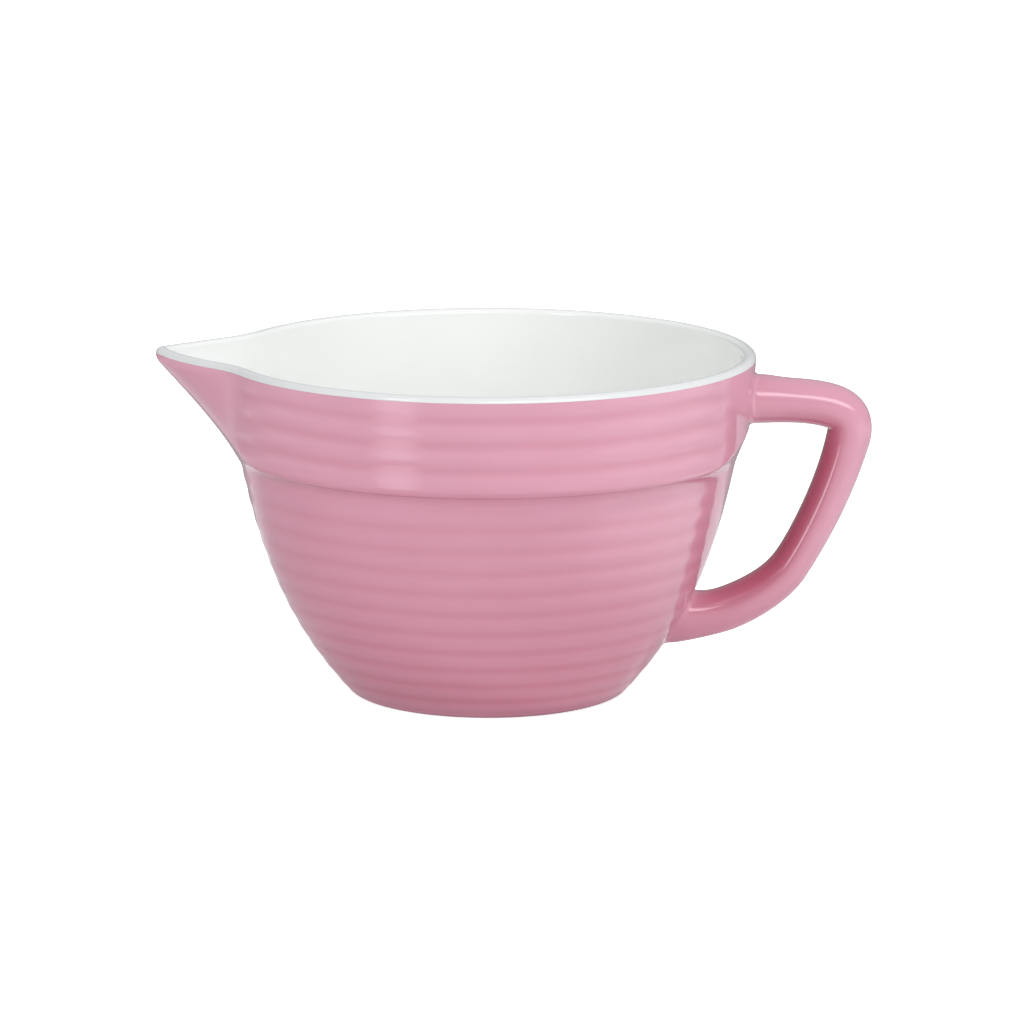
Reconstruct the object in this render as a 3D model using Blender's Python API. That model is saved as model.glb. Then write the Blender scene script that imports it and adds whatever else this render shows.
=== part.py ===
"""Soup bowl with a pouring spout and an ear handle, in glazed stoneware.

Metres, +Z up. The bowl stands on z = 0 with its handle towards +X and its spout towards -X. The origin lies
on the table under the middle of the whole object's box. Radii and angles are taken about the bowl's own axis,
which an empty carries, and angles run from the handle.
"""
import math

import bmesh
import bpy
import numpy as np
from mathutils import Vector
from mathutils.geometry import interpolate_bezier

MM = 0.001

# Bowl
RIM_RADIUS = 70.2 * MM
BOWL_HEIGHT = 90.3 * MM
FOOT_RADIUS = 36.0 * MM  # where the wall would meet the table without its rounding
FOOT_ROUNDING = 1.6 * MM
FOOT_RING_WIDTH = 5.0 * MM
FOOT_RECESS = 1.5 * MM
WALL_RISE = math.radians(46.0)  # how steeply the wall leaves the foot
WALL_LEAN = math.radians(11.5)  # how far it still leans out under the collar
LOWER_PULL = 0.40  # how far the wall keeps each of these directions, as a share of its chord
UPPER_PULL = 0.30

# Collar
COLLAR_HEIGHT = 26.3 * MM
COLLAR_LEAN = 1.7 * MM  # how much narrower the collar is at its lower edge than at the rim
COLLAR_OVERHANG = 3.1 * MM
COLLAR_EDGE = 2.2 * MM  # height of the rounding at the collar's lower edge
HOLLOW = 2.4 * MM  # height of the hollow rounding between the body and the collar
HOLLOW_REACH = 0.9 * MM

# Ribs
COLLAR_RIB_PITCH = 6.45 * MM
COLLAR_FIRST_GROOVE = 6.0 * MM  # from the rim down to the first groove
COLLAR_RIB_DEPTH = 0.22 * MM
BODY_RIB_PITCH = 6.1 * MM
BODY_FIRST_GROOVE = 9.1 * MM  # from the collar down the wall to the first full groove
BODY_RIB_DEPTH = 0.16 * MM
RIB_FADE = 6.0 * MM  # the body's ribs die out over this length at the collar
FOOT_RIB_FADE = 3.0 * MM  # and over this length at the foot

# Smooth panels, where the ribs stop beside the handle and at the spout
PANEL_HALF_ANGLE = math.radians(24.0)
PANEL_FOOT_HALF_ANGLE = math.radians(5.5)  # half angle of the handle's panel at the foot
PANEL_EDGE = math.radians(1.5)
SPOUT_PANEL_HALF_ANGLE = math.radians(20.0)
SPOUT_PANEL_EDGE = math.radians(11.0)
SLANT_ABOVE = 10.5 * MM  # in the middle of a panel the collar slants into the body between these heights
SLANT_BELOW = 2.6 * MM
SLANT_HALF_ANGLE = math.radians(33.0)  # this far to either side the slant has narrowed to the plain step

# Spout
SPOUT_REACH = 19.7 * MM  # from the rim to where the keel would meet the rim's height
SPOUT_BLUNTING = 2.9 * MM  # how much of that the upright front of the tip takes away
SPOUT_FRONT_ROUNDING = 1.0 * MM
SPOUT_TAIL = 2.7 * MM  # how far below the collar the keel starts
SPOUT_KEEL = 1.14  # above 1 the keel is hollow
SPOUT_HALF_ANGLE = math.radians(21.0)
SPOUT_TIP_ANGLE = math.radians(1.5)  # roundness of the tip, seen from above
SPOUT_FLANK = 1.1  # above 1 the spout's sides are hollow
SPOUT_BLEND = 0.3  # share of the half angle over which its sides flow into the collar, on either hand
SPOUT_RISE = 0.8 * MM  # how much higher the tip is than the rim

# Walls and glaze
BODY_WALL = 2.2 * MM
BODY_FLOOR = 3.3 * MM
LINER = 0.9 * MM
LIP_HEIGHT = 1.4 * MM  # how far the white glaze comes down over the outside of the rim
FLOOR_CORNER = 7.0 * MM  # rounding between the inside wall and the floor
SEAT = 0.3 * MM  # clearance between pieces that touch

# Handle
UPPER_ARM_DROP = 12.55 * MM  # centre line of the upper arm, below the rim
KNUCKLE_REACH = 24.2 * MM  # centre line at the upper bend, out from the rim
KNUCKLE_DROP = 22.9 * MM  # and below the rim
KNUCKLE_LEAN = math.radians(14.5)
KNEE_REACH = 9.85 * MM  # centre line at the lower bend, out from the rim
KNEE_HEIGHT = 33.85 * MM
KNEE_LEAN = math.radians(31.2)
LOWER_ARM_HEIGHT = 19.3 * MM
UPPER_ARM_PULLS = (19.9 * MM, 8.4 * MM)  # how far each span keeps its end directions
GRIP_PULLS = (3.4 * MM, 20.0 * MM)
LOWER_ARM_PULLS = (8.1 * MM, 10.6 * MM)
HANDLE_THICKNESS = (11.1 * MM, 11.6 * MM, 9.8 * MM, 12.1 * MM)  # at both ends and both bends
HANDLE_FLARE = 1.6 * MM  # how much thicker and wider the handle gets at its very ends
HANDLE_WIDTH = 14.0 * MM
HANDLE_SQUARENESS = 2.3  # 2 is an ellipse, higher is a rounder rectangle
HANDLE_SETTLE = 12.0 * MM  # length over which an end turns square to the centre line
SLIP = 1.2 * MM  # thickness of the joining slip
SLIP_SPREAD = 1.15  # how far the slip spreads on the wall, against the handle's end

# Mesh fineness
RING_SIDES = 58
SPOUT_CROWDING = 0.4  # how much closer the sides lie at the spout
ROWS_PER_RIB = 3
CURVE_POINTS = 240
EDGE_ROWS = 5
HOLLOW_ROWS = 3
LIP_ROWS = 7
SPOUT_ROWS = 7
WALL_ROWS = 5
CORNER_ROWS = 4
HANDLE_SIDES = 16
SPAN_ROWS = 11
END_FACE_SHARES = (0.1, 0.55)  # rings inside an end face, against its outline
SLOPE_STEP = 1e-4 * MM  # step over which a slope is measured

# Colours, as linear red, green and blue
PINK = (0.62, 0.26, 0.35)
WHITE = (0.83, 0.84, 0.82)
GLAZE_ROUGHNESS = 0.18

# Sizes that follow
COLLAR_BOTTOM = BOWL_HEIGHT - COLLAR_HEIGHT
COLLAR_BOTTOM_RADIUS = RIM_RADIUS - COLLAR_LEAN
BODY_TOP_RADIUS = COLLAR_BOTTOM_RADIUS - COLLAR_OVERHANG
KEEL_START = COLLAR_BOTTOM - SPOUT_TAIL
WALL = BODY_WALL + SEAT + LINER
LIP_BOTTOM = BOWL_HEIGHT - LIP_HEIGHT
FLOOR_TOP = FOOT_RECESS + BODY_FLOOR
HANDLE_STAND_OFF = SEAT + SLIP + SEAT
UPPER_ARM_HEIGHT = BOWL_HEIGHT - UPPER_ARM_DROP
UPPER_END_THICKNESS = HANDLE_THICKNESS[0] + HANDLE_FLARE
LOWER_END_THICKNESS = HANDLE_THICKNESS[-1] + HANDLE_FLARE
END_WIDTH = HANDLE_WIDTH + HANDLE_FLARE

TURN = np.linspace(0.0, 2.0 * math.pi, RING_SIDES, endpoint=False)
ANGLES = TURN + SPOUT_CROWDING * np.sin(TURN)
RADIAL = np.stack([np.cos(ANGLES), np.sin(ANGLES)], axis=1)


def smooth_share(low, high, value):
    """Rises smoothly from 0 at low to 1 at high."""
    share = np.clip((value - low) / (high - low), 0.0, 1.0)
    return share * share * (3.0 - 2.0 * share)


def soft_ramp(value, rounding):
    """The value itself above 0 and 0 below, with its corner rounded off over this much on either hand."""
    corner = np.clip(value + rounding, 0.0, 2.0 * rounding)
    return corner * corner / (4.0 * rounding) + np.maximum(value - rounding, 0.0)


def wall_curve():
    """Radii, heights and lengths up the body's wall, from the foot's corner to the collar."""
    foot = Vector((FOOT_RADIUS, 0.0, 0.0))
    top = Vector((BODY_TOP_RADIUS, COLLAR_BOTTOM, 0.0))
    chord = (top - foot).length
    rise = Vector((math.cos(WALL_RISE), math.sin(WALL_RISE), 0.0)) * (LOWER_PULL * chord)
    lean = Vector((math.sin(WALL_LEAN), math.cos(WALL_LEAN), 0.0)) * (UPPER_PULL * chord)
    points = np.array(interpolate_bezier(foot, foot + rise, top - lean, top, CURVE_POINTS))
    steps = np.linalg.norm(np.diff(points, axis=0), axis=1)
    return points[:, 0], points[:, 1], np.concatenate([[0.0], np.cumsum(steps)])


WALL_RADII, WALL_HEIGHTS, WALL_LENGTHS = wall_curve()
WALL_LENGTH = WALL_LENGTHS[-1]


def collar_radius(height):
    return RIM_RADIUS - COLLAR_LEAN * (BOWL_HEIGHT - height) / COLLAR_HEIGHT


def wall_radius(height):
    return float(np.interp(height, WALL_HEIGHTS, WALL_RADII))


def plain_radius(height):
    """Outside radius without ribs: the wall, the hollow above it, then the collar with its rounded edge."""
    if height < COLLAR_BOTTOM:
        near = max(0.0, 1.0 - (COLLAR_BOTTOM - height) / HOLLOW)
        return wall_radius(height) + HOLLOW_REACH * near * near
    ledge = BODY_TOP_RADIUS + HOLLOW_REACH
    below = max(0.0, 1.0 - (height - COLLAR_BOTTOM) / COLLAR_EDGE)
    return ledge + (collar_radius(height) - ledge) * math.sqrt(1.0 - below * below)


def slant_share(angle):
    """1 in the middle of the handle's panel and of the spout's, falling to 0 where the plain step starts."""
    off_middle = np.arcsin(np.abs(np.sin(angle)))
    facing = np.abs(np.cos(angle)) > math.cos(SLANT_HALF_ANGLE)
    return np.where(facing, 1.0 - off_middle / SLANT_HALF_ANGLE, 0.0)


def panel_radius(height, slant):
    """Outside radius without ribs, with this share of the full slant between collar and body."""
    low = COLLAR_BOTTOM - SLANT_BELOW * slant
    high = COLLAR_BOTTOM + SLANT_ABOVE * slant
    if not low < height < high:
        return plain_radius(height)
    share = (height - low) / (high - low)
    return plain_radius(low) + share * (plain_radius(high) - plain_radius(low))


def groove_depth(height):
    """How far a rib's groove cuts in at a height."""
    if height >= COLLAR_BOTTOM:
        down = BOWL_HEIGHT - height
        up = height - COLLAR_BOTTOM
        fade = smooth_share(0.0, COLLAR_RIB_PITCH, down) * smooth_share(0.0, COLLAR_RIB_PITCH, up)
        wave = math.cos(2.0 * math.pi * (down - COLLAR_FIRST_GROOVE) / COLLAR_RIB_PITCH)
        return COLLAR_RIB_DEPTH * fade * (1.0 + wave) / 2.0
    length = float(np.interp(height, WALL_HEIGHTS, WALL_LENGTHS))
    down = WALL_LENGTH - length
    fade = smooth_share(0.0, RIB_FADE, down) * smooth_share(0.0, FOOT_RIB_FADE, length)
    wave = math.cos(2.0 * math.pi * (down - BODY_FIRST_GROOVE) / BODY_RIB_PITCH)
    return BODY_RIB_DEPTH * fade * (1.0 + wave) / 2.0


def rib_share(height):
    """1 where the ribs run and 0 in the smooth panels, for each side of a ring."""
    from_handle = np.abs(np.arctan2(np.sin(ANGLES), np.cos(ANGLES)))
    from_spout = math.pi - from_handle
    climb = min(1.0, height / COLLAR_BOTTOM)
    half = PANEL_FOOT_HALF_ANGLE + (PANEL_HALF_ANGLE - PANEL_FOOT_HALF_ANGLE) * climb
    beside_handle = smooth_share(half, half + PANEL_EDGE, from_handle)
    if height < KEEL_START:
        return beside_handle
    spout_edge = SPOUT_PANEL_HALF_ANGLE + SPOUT_PANEL_EDGE
    return beside_handle * smooth_share(SPOUT_PANEL_HALF_ANGLE, spout_edge, from_spout)


def spout_share():
    """1 on the spout's keel, falling to 0 where its sides meet the collar."""
    off_keel = np.abs(ANGLES - math.pi)
    rounded = np.hypot(off_keel, SPOUT_TIP_ANGLE) - SPOUT_TIP_ANGLE
    edge = math.hypot(SPOUT_HALF_ANGLE, SPOUT_TIP_ANGLE) - SPOUT_TIP_ANGLE
    return soft_ramp(1.0 - rounded / edge, SPOUT_BLEND) ** SPOUT_FLANK


SPOUT_SHARE = spout_share()
SLANT_SHARE = slant_share(ANGLES)


def with_spout(radii, height):
    """Pulls a ring out to the spout's keel, which runs from under the collar to the tip."""
    if height <= KEEL_START:
        return radii
    start = wall_radius(KEEL_START)
    climb = (height - KEEL_START) / (BOWL_HEIGHT - KEEL_START)
    keel = start + (RIM_RADIUS + SPOUT_REACH - start) * climb ** SPOUT_KEEL
    keel -= soft_ramp(keel - (RIM_RADIUS + SPOUT_REACH - SPOUT_BLUNTING), SPOUT_FRONT_ROUNDING)
    return radii + (keel - radii) * SPOUT_SHARE


def ring_at(radii, height):
    """Points round the bowl's axis at a height, lifted a little towards the spout's tip."""
    climb = max(0.0, (height - KEEL_START) / (BOWL_HEIGHT - KEEL_START))
    lift = SPOUT_RISE * climb ** 2 * SPOUT_SHARE ** 3
    return np.column_stack([RADIAL * np.reshape(radii, (-1, 1)), height + lift])


def outside_ring(height):
    """Points round the outside of the bowl at a height."""
    smooth = np.array([panel_radius(height, slant) for slant in SLANT_SHARE])
    return ring_at(with_spout(smooth - groove_depth(height) * rib_share(height), height), height)


def form_radii(height):
    """Radii of the plain form, without step or ribs, from which the inside is set off."""
    if height < COLLAR_BOTTOM:
        return np.full(RING_SIDES, wall_radius(height))
    share = (height - COLLAR_BOTTOM) / COLLAR_HEIGHT
    plain = BODY_TOP_RADIUS + share * (RIM_RADIUS - BODY_TOP_RADIUS)
    return with_spout(np.full(RING_SIDES, plain), height)


def inset_ring(height, inset):
    """Points round the bowl at a height, set in from the plain form, square to its wall."""
    ring = ring_at(form_radii(height), height)
    along = np.roll(ring, -1, axis=0) - np.roll(ring, 1, axis=0)
    outward = np.column_stack([along[:, 1], -along[:, 0]])
    outward /= np.linalg.norm(outward, axis=1)[:, None]
    lean = (form_radii(height) - form_radii(height - SLOPE_STEP)) / SLOPE_STEP
    lean *= np.sum(outward * RADIAL, axis=1)
    ring[:, :2] -= outward * (inset * np.sqrt(1.0 + lean * lean))[:, None]
    return ring


def inside_rings(inset, top, floor):
    """Rings down the inside of a layer, from its top to the edge of its flat floor."""
    corner_top = floor + FLOOR_CORNER
    heights = [*np.linspace(top, KEEL_START, SPOUT_ROWS), *np.linspace(KEEL_START, corner_top, WALL_ROWS)[1:]]
    rings = [inset_ring(height, inset) for height in heights]
    start = float(np.max(rings[-1][:, 0]))
    lower = float(np.max(inset_ring(corner_top - SLOPE_STEP, inset)[:, 0]))
    corner = start - (start - lower) / SLOPE_STEP * FLOOR_CORNER
    for step in range(1, CORNER_ROWS + 1):
        share = step / CORNER_ROWS
        radius = (1 - share) ** 2 * start + 2 * share * (1 - share) * corner
        radius += share * share * (corner - FLOOR_CORNER)
        rings.append(ring_at(radius, floor + FLOOR_CORNER * (1 - share) ** 2))
    return rings


def foot_rings():
    """Rings of the foot, from the recess under the bowl to the start of the wall."""
    flat_edge = FOOT_RADIUS - FOOT_ROUNDING
    inner_edge = flat_edge - FOOT_RING_WIDTH
    rings = [ring_at(inner_edge - FOOT_RECESS, FOOT_RECESS)]
    rings.append(ring_at(inner_edge, 0.0))
    end_radius = float(np.interp(FOOT_ROUNDING, WALL_LENGTHS, WALL_RADII))
    end_height = float(np.interp(FOOT_ROUNDING, WALL_LENGTHS, WALL_HEIGHTS))
    for share in np.linspace(0.0, 1.0, CORNER_ROWS):
        radius = (1 - share) ** 2 * flat_edge + 2 * share * (1 - share) * FOOT_RADIUS
        rings.append(ring_at(radius + share * share * end_radius, share * share * end_height))
    return rings


def outside_heights():
    """Heights of the outside's rings: a fixed number to each rib, and closer at the collar's edge."""
    step = BODY_RIB_PITCH / ROWS_PER_RIB
    lengths = np.arange(WALL_LENGTH - BODY_FIRST_GROOVE % step, FOOT_ROUNDING + step / 2.0, -step)[::-1]
    body = np.interp(lengths, WALL_LENGTHS, WALL_HEIGHTS)
    body = body[body < COLLAR_BOTTOM - HOLLOW]
    hollow = COLLAR_BOTTOM - HOLLOW * np.linspace(1.0, 0.0, HOLLOW_ROWS, endpoint=False)
    turns = np.linspace(0.0, math.pi / 2.0, EDGE_ROWS)
    edge = COLLAR_BOTTOM + COLLAR_EDGE * (1.0 - np.cos(turns))
    top = LIP_BOTTOM - SEAT
    step = COLLAR_RIB_PITCH / ROWS_PER_RIB
    collar = np.arange(BOWL_HEIGHT - COLLAR_FIRST_GROOVE % step, edge[-1] + step / 2.0, -step)[::-1]
    collar = collar[collar < top - step / 2.0]
    return [float(height) for height in (*body, *hollow, *edge, *collar, top)]


def glaze(name, colour):
    material = bpy.data.materials.new(name)
    material.use_nodes = True
    shader = material.node_tree.nodes["Principled BSDF"]
    shader.inputs["Base Color"].default_value = (*colour, 1.0)
    shader.inputs["Roughness"].default_value = GLAZE_ROUGHNESS
    shader.inputs["Metallic"].default_value = 0.0
    return material


def add_cap(mesh, ring):
    """Closes a ring with a fan of triangles about its middle."""
    middle = mesh.verts.new(sum((vertex.co for vertex in ring), Vector()) / len(ring))
    for vertex, following in zip(ring, ring[1:] + ring[:1]):
        mesh.faces.new((vertex, following, middle))


def skin(name, rings, material, parent):
    """Makes one closed solid from a chain of rings, capped at both ends."""
    mesh = bmesh.new()
    loops = [[mesh.verts.new(point) for point in ring] for ring in rings]
    for lower, upper in zip(loops, loops[1:]):
        for side in range(len(lower)):
            after = (side + 1) % len(lower)
            mesh.faces.new((lower[side], lower[after], upper[after], upper[side]))
    add_cap(mesh, loops[0])
    add_cap(mesh, loops[-1])
    bmesh.ops.recalc_face_normals(mesh, faces=mesh.faces)
    data = bpy.data.meshes.new(name)
    mesh.to_mesh(data)
    mesh.free()
    data.shade_smooth()
    data.materials.append(material)
    piece = bpy.data.objects.new(name, data)
    piece.parent = parent
    bpy.context.scene.collection.objects.link(piece)
    return piece


def add_bowl_body(parent):
    rings = foot_rings()
    rings += [outside_ring(height) for height in outside_heights()]
    rings += inside_rings(BODY_WALL, LIP_BOTTOM - SEAT, FLOOR_TOP)
    return skin("bowl_body", rings, glaze("pink_glaze", PINK), parent)


def add_white_liner(parent):
    back = inside_rings(BODY_WALL + SEAT, LIP_BOTTOM, FLOOR_TOP + SEAT)
    rings = back[::-1]
    for turn in np.linspace(0.0, math.pi, LIP_ROWS):
        inset = WALL * (1.0 - math.cos(turn)) / 2.0
        rings.append(inset_ring(LIP_BOTTOM + LIP_HEIGHT * math.sin(turn), inset))
    rings += inside_rings(WALL, LIP_BOTTOM, FLOOR_TOP + SEAT + LINER)[1:]
    return skin("white_liner", rings, glaze("white_glaze", WHITE), parent)


def wall_x(side, height):
    """How far out the handle's panel lies, at a distance to the side of the handle's plane."""
    angle = math.asin(side / panel_radius(height, 1.0))
    return math.sqrt(panel_radius(height, slant_share(angle)) ** 2 - side * side)


def handle_line():
    """Centre line of the handle as rows of x and z, from the upper end to the lower end."""
    upper = Vector((wall_x(0.0, UPPER_ARM_HEIGHT) + HANDLE_STAND_OFF, 0.0, UPPER_ARM_HEIGHT))
    knuckle = Vector((RIM_RADIUS + KNUCKLE_REACH, 0.0, BOWL_HEIGHT - KNUCKLE_DROP))
    knee = Vector((RIM_RADIUS + KNEE_REACH, 0.0, KNEE_HEIGHT))
    lower = Vector((wall_x(0.0, LOWER_ARM_HEIGHT) + HANDLE_STAND_OFF, 0.0, LOWER_ARM_HEIGHT))
    out = Vector((1.0, 0.0, 0.0))
    knuckle_down = Vector((-math.sin(KNUCKLE_LEAN), 0.0, -math.cos(KNUCKLE_LEAN)))
    knee_down = Vector((-math.sin(KNEE_LEAN), 0.0, -math.cos(KNEE_LEAN)))
    spans = (
        (upper, out, knuckle, knuckle_down, UPPER_ARM_PULLS),
        (knuckle, knuckle_down, knee, knee_down, GRIP_PULLS),
        (knee, knee_down, lower, -out, LOWER_ARM_PULLS),
    )
    points = []
    for start, start_way, end, end_way, pulls in spans:
        first = start + start_way * pulls[0]
        second = end - end_way * pulls[1]
        points += interpolate_bezier(start, first, second, end, SPAN_ROWS)[bool(points):]
    return points


def section(thickness, width):
    """Outline of the handle's section, as distances across its plane and to the side."""
    turns = np.linspace(0.0, 2.0 * math.pi, HANDLE_SIDES, endpoint=False)
    power = 2.0 / HANDLE_SQUARENESS
    across = np.sign(np.cos(turns)) * np.abs(np.cos(turns)) ** power * thickness / 2.0
    side = np.sign(np.sin(turns)) * np.abs(np.sin(turns)) ** power * width / 2.0
    return np.column_stack([across, side])


def wall_patch(height, thickness, width, stand_off):
    """Outline of the handle's section, laid on the handle's panel and lifted off it."""
    ring = []
    for across, side in section(thickness, width):
        ring.append((wall_x(side, height + across) + stand_off, side, height + across))
    return ring


def end_face(height, thickness, width, stand_off):
    """Rings that close a handle end or a slip joint, following the wall from the middle out."""
    shares = END_FACE_SHARES
    return [wall_patch(height, thickness * share, width * share, stand_off) for share in shares]


def handle_rings():
    """Rings along the handle, whose ends follow the wall that they meet."""
    line = handle_line()
    places = np.linspace(0.0, len(HANDLE_THICKNESS) - 1.0, len(line))
    lengths = np.cumsum([0.0] + [(b - a).length for a, b in zip(line, line[1:])])
    rings = []
    for index, (centre, place) in enumerate(zip(line, places)):
        before = line[max(index - 1, 0)]
        after = line[min(index + 1, len(line) - 1)]
        way = (after - before).normalized()
        if index in (0, len(line) - 1):
            way = Vector((math.copysign(1.0, way.x), 0.0, 0.0))
        across = Vector((-way.z, 0.0, way.x))
        from_end = min(lengths[index], lengths[-1] - lengths[index])
        shear = 1.0 - smooth_share(0.0, HANDLE_SETTLE, from_end)
        flare = HANDLE_FLARE * shear * shear
        thickness = np.interp(place, range(len(HANDLE_THICKNESS)), HANDLE_THICKNESS) + flare
        ring = []
        for offset, side in section(thickness, HANDLE_WIDTH + flare):
            point = centre + across * offset + Vector((0.0, side, 0.0))
            if shear > 0.0:
                point.x += shear * (wall_x(side, point.z) - wall_x(0.0, centre.z))
            ring.append(point)
        rings.append(ring)
    return rings


def add_handle(parent):
    upper = end_face(UPPER_ARM_HEIGHT, UPPER_END_THICKNESS, END_WIDTH, HANDLE_STAND_OFF)
    # The centre line runs back into the wall there, which turns its sections upside down.
    lower = end_face(LOWER_ARM_HEIGHT, -LOWER_END_THICKNESS, END_WIDTH, HANDLE_STAND_OFF)
    return skin("handle", upper + handle_rings() + lower[::-1], glaze("handle_glaze", PINK), parent)


def add_slip_joint(name, height, thickness, parent):
    """A pad of slip that fills the seam between a handle end and the wall, wider on the wall."""
    rings = end_face(height, thickness * SLIP_SPREAD, END_WIDTH * SLIP_SPREAD, SEAT)
    for share in np.linspace(0.0, 1.0, CORNER_ROWS):
        spread = 1.0 + (SLIP_SPREAD - 1.0) * (1.0 - share) ** 2
        rings.append(wall_patch(height, thickness * spread, END_WIDTH * spread, SEAT + SLIP * share))
    rings += end_face(height, thickness, END_WIDTH, SEAT + SLIP)[::-1]
    return skin(name, rings, glaze(name + "_glaze", PINK), parent)


def clear_scene():
    for item in list(bpy.data.objects):
        bpy.data.objects.remove(item, do_unlink=True)


def main():
    clear_scene()
    axis = bpy.data.objects.new("bowl_axis", None)
    bpy.context.scene.collection.objects.link(axis)
    add_bowl_body(axis)
    liner = add_white_liner(axis)
    handle = add_handle(axis)
    add_slip_joint("upper_slip_joint", UPPER_ARM_HEIGHT, UPPER_END_THICKNESS, axis)
    add_slip_joint("lower_slip_joint", LOWER_ARM_HEIGHT, LOWER_END_THICKNESS, axis)
    spout_tip = min(vertex.co.x for vertex in liner.data.vertices)
    handle_tip = max(vertex.co.x for vertex in handle.data.vertices)
    axis.location.x = -(spout_tip + handle_tip) / 2.0
    bpy.context.view_layer.update()


main()
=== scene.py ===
"""Looks of the soup bowl: its glazed surfaces, the studio and the camera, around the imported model.

Metres, +Z up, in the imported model's frame. Radii and angles are taken about the bowl's own axis, and angles
run from the handle. The forms follow the sizes of the solids that they stand for, with a finer mesh.
"""
import math

import bmesh
import bpy
import numpy as np
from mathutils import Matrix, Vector
from mathutils.geometry import interpolate_bezier


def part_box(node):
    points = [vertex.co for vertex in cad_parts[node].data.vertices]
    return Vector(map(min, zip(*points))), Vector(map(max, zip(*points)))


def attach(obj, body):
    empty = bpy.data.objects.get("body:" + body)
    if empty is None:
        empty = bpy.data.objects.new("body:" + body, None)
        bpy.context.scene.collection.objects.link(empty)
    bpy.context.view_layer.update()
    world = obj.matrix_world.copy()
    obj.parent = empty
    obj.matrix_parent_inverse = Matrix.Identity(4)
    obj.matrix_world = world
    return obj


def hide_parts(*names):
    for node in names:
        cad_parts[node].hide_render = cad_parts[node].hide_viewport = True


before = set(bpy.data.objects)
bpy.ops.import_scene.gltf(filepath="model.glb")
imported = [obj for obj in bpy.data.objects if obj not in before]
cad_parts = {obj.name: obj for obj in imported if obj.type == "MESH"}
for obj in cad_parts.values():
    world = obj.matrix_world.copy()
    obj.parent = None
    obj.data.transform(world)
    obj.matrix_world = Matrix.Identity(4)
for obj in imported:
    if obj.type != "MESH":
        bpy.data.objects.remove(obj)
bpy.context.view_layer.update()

MM = 0.001

# Bowl
RIM_RADIUS = 70.18 * MM  # a hair less than the solid's, so that the rounder mesh stays in its box
SPOUT_RISE = 0.8 * MM
BOWL_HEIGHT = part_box("white_liner")[1].z - SPOUT_RISE
FOOT_RADIUS = 36.0 * MM
FOOT_ROUNDING = 1.6 * MM
FOOT_RING_WIDTH = 5.0 * MM
FOOT_RECESS = 1.5 * MM
WALL_RISE = math.radians(46.0)  # slope of the wall at the foot
WALL_LEAN = math.radians(11.5)  # lean of the wall under the collar, off the upright
LOWER_PULL = 0.40  # how far the wall keeps to that slope, as a share of its chord
UPPER_PULL = 0.30  # how far it keeps to that lean

# Collar
COLLAR_HEIGHT = 26.3 * MM
COLLAR_LEAN = 1.7 * MM
COLLAR_OVERHANG = 3.1 * MM
COLLAR_EDGE = 2.2 * MM  # height of its rounded lower edge
HOLLOW = 2.4 * MM  # height of the hollow under it
HOLLOW_REACH = 0.9 * MM  # how far the wall draws out in that hollow

# Ribs
COLLAR_RIB_PITCH = 6.45 * MM
COLLAR_FIRST_GROOVE = 6.0 * MM
COLLAR_RIB_DEPTH = 0.22 * MM
BODY_RIB_PITCH = 6.1 * MM
BODY_FIRST_GROOVE = 9.1 * MM
BODY_RIB_DEPTH = 0.16 * MM
RIB_FADE = 6.0 * MM
FOOT_RIB_FADE = 3.0 * MM

# Smooth panels beside the handle and at the spout
PANEL_HALF_ANGLE = math.radians(24.0)
PANEL_FOOT_HALF_ANGLE = math.radians(5.5)
PANEL_EDGE = math.radians(7.0)  # the ribs die out over this much beside the panel
SPOUT_PANEL_HALF_ANGLE = math.radians(20.0)
SPOUT_PANEL_EDGE = math.radians(11.0)  # and over this much beside the spout
SLANT_ABOVE = 10.5 * MM
SLANT_BELOW = 2.6 * MM
SLANT_HALF_ANGLE = math.radians(33.0)
SLANT_ROUNDING = 0.8 * MM  # softness of the slant's upper end

# Spout
SPOUT_REACH = 19.7 * MM
SPOUT_BLUNTING = 2.9 * MM  # how much of the tip is left off, for an upright front
SPOUT_FRONT_ROUNDING = 1.0 * MM
SPOUT_TAIL = 2.7 * MM  # how far under the collar the keel starts
SPOUT_KEEL = 1.14  # above 1 the keel curves out towards the tip
SPOUT_HALF_ANGLE = math.radians(21.0)
SPOUT_TIP_ANGLE = math.radians(1.5)
SPOUT_FLANK = 1.1  # above 1 the spout's sides are hollow
SPOUT_BLEND = 0.3  # softness of the line where those sides meet the collar
SPOUT_LIFT_DELAY = 2  # the higher, the later the rim's rise sets in on the way up
SPOUT_LIFT_FOCUS = 3  # the higher, the closer the rise stays to the keel

# Walls and glaze
WALL = 3.4 * MM
LINER = 0.9 * MM
LIP_HEIGHT = 1.4 * MM
FLOOR_CORNER = 7.0 * MM
FLOOR_TOP = 6.0 * MM
TUCK = 0.03 * MM  # how far apart the visible surfaces lie where one hides behind another

# Handle
UPPER_ARM_DROP = 12.55 * MM
KNUCKLE_REACH = 24.18 * MM
KNUCKLE_DROP = 22.9 * MM
KNUCKLE_LEAN = math.radians(14.5)
KNEE_REACH = 9.85 * MM
KNEE_HEIGHT = 33.85 * MM
KNEE_LEAN = math.radians(31.2)
LOWER_ARM_HEIGHT = 19.3 * MM
# How far each span of the centre line keeps to the directions at its two ends
UPPER_ARM_PULLS = (19.9 * MM, 8.4 * MM)
GRIP_PULLS = (3.4 * MM, 20.0 * MM)
LOWER_ARM_PULLS = (8.1 * MM, 10.6 * MM)
# At the upper end, the knuckle, the knee and the lower end
HANDLE_THICKNESS = (11.1 * MM, 11.6 * MM, 9.8 * MM, 12.1 * MM)
HANDLE_FLARE = 1.6 * MM
HANDLE_WIDTH = 14.0 * MM
HANDLE_SQUARENESS = 2.3  # 2 is an ellipse, and more is squarer
HANDLE_SETTLE = 12.0 * MM  # the length over which an end flares and turns to follow the wall
FILLET = 1.3 * MM  # the smoothed slip between a handle end and the wall

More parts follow.
